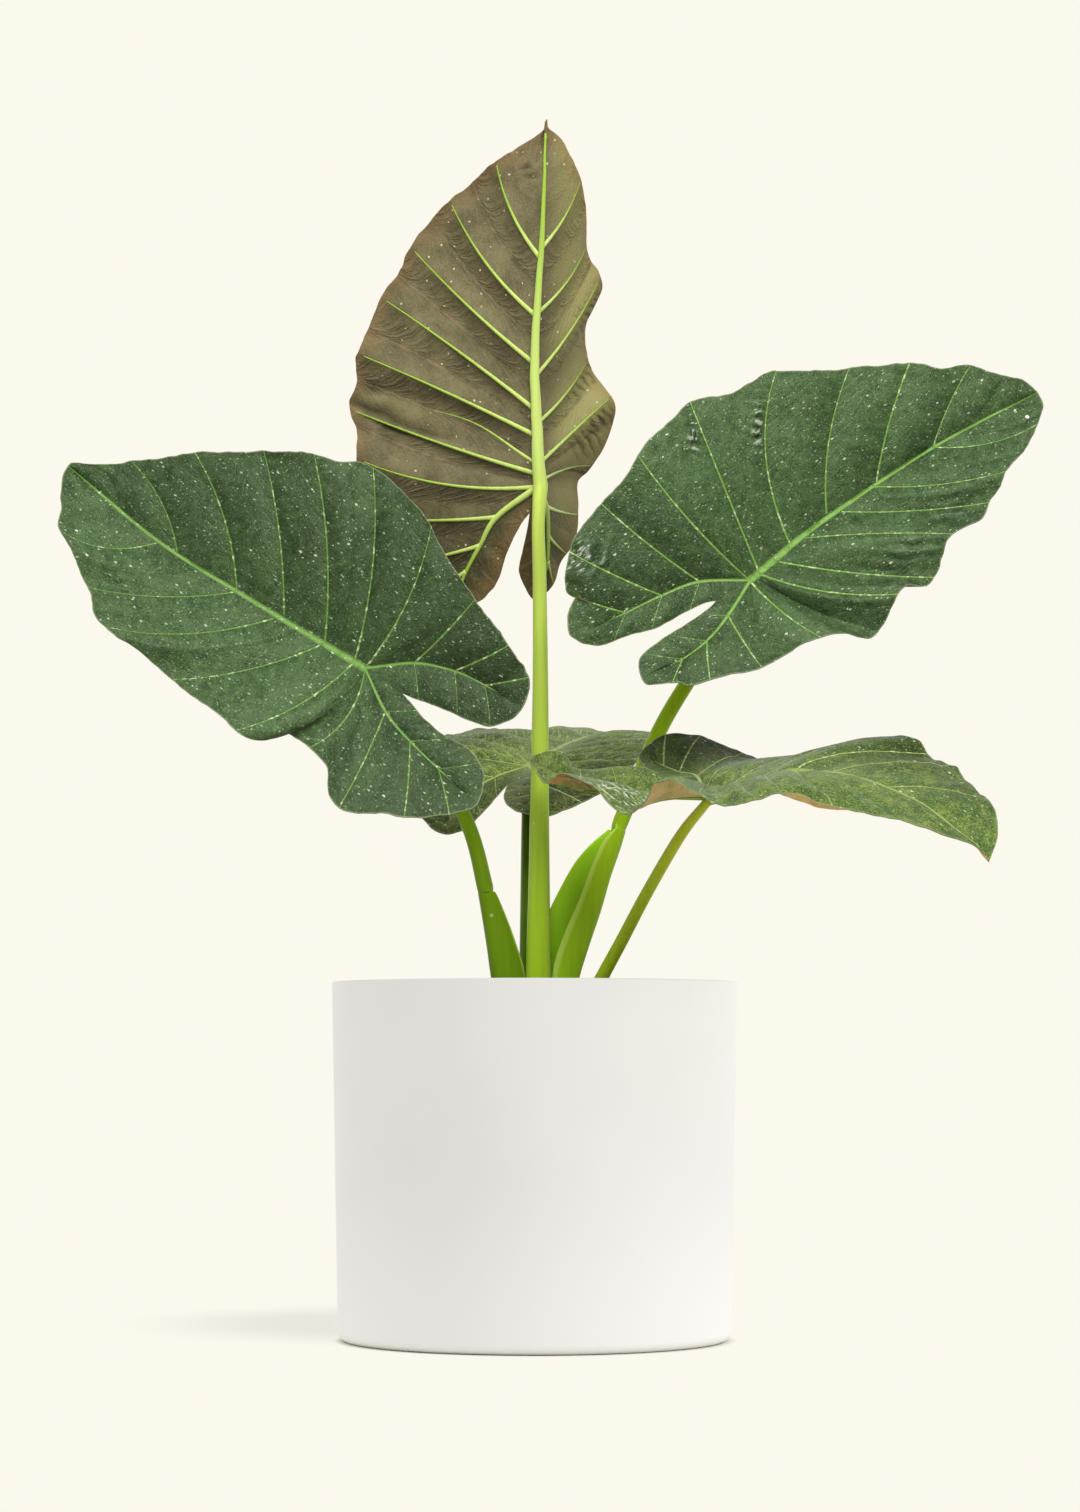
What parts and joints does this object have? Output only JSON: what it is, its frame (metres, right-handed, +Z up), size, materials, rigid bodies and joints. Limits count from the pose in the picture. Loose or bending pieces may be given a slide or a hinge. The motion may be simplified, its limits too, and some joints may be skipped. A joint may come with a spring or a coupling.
{
  "type": "potted regal shields alocasia",
  "caption": "Large-leaved aroid in a plain white cylinder pot: dark waved shield-shaped blades on thick green stalks that rise from a corm in potting mix.",
  "frame": {"origin": "centre of the pot's underside, on the flat that the pot stands on", "axes": "+Z up the plant, +X to the right seen from the front, +Y away from the front (the plant's best side faces -Y)"},
  "size_m": [0.7383, 0.5838, 0.9074],
  "materials": {
    "pot_white": "matte white, fine even grain",
    "soil_brown": "loose dark potting mix, matte",
    "corm_brown": "rough brown skin, matte",
    "blade_green": "leaf blade, dark green with paler ribs, satin, purple-brown underside",
    "stalk_green": "fleshy leaf stalk and ribs, bright yellow-green, satin"
  },
  "bodies": {
    "root": {"pot": "pot_white", "soil": "soil_brown", "corm": "corm_brown", "tall_leaf_blade": "blade_green", "tall_leaf_stalk": "stalk_green", "left_leaf_blade": "blade_green", "left_leaf_stalk": "stalk_green", "right_leaf_blade": "blade_green", "right_leaf_stalk": "stalk_green", "low_leaf_blade": "blade_green", "low_leaf_stalk": "stalk_green", "back_leaf_blade": "blade_green", "back_leaf_stalk": "stalk_green"}
  },
  "joints": []
}
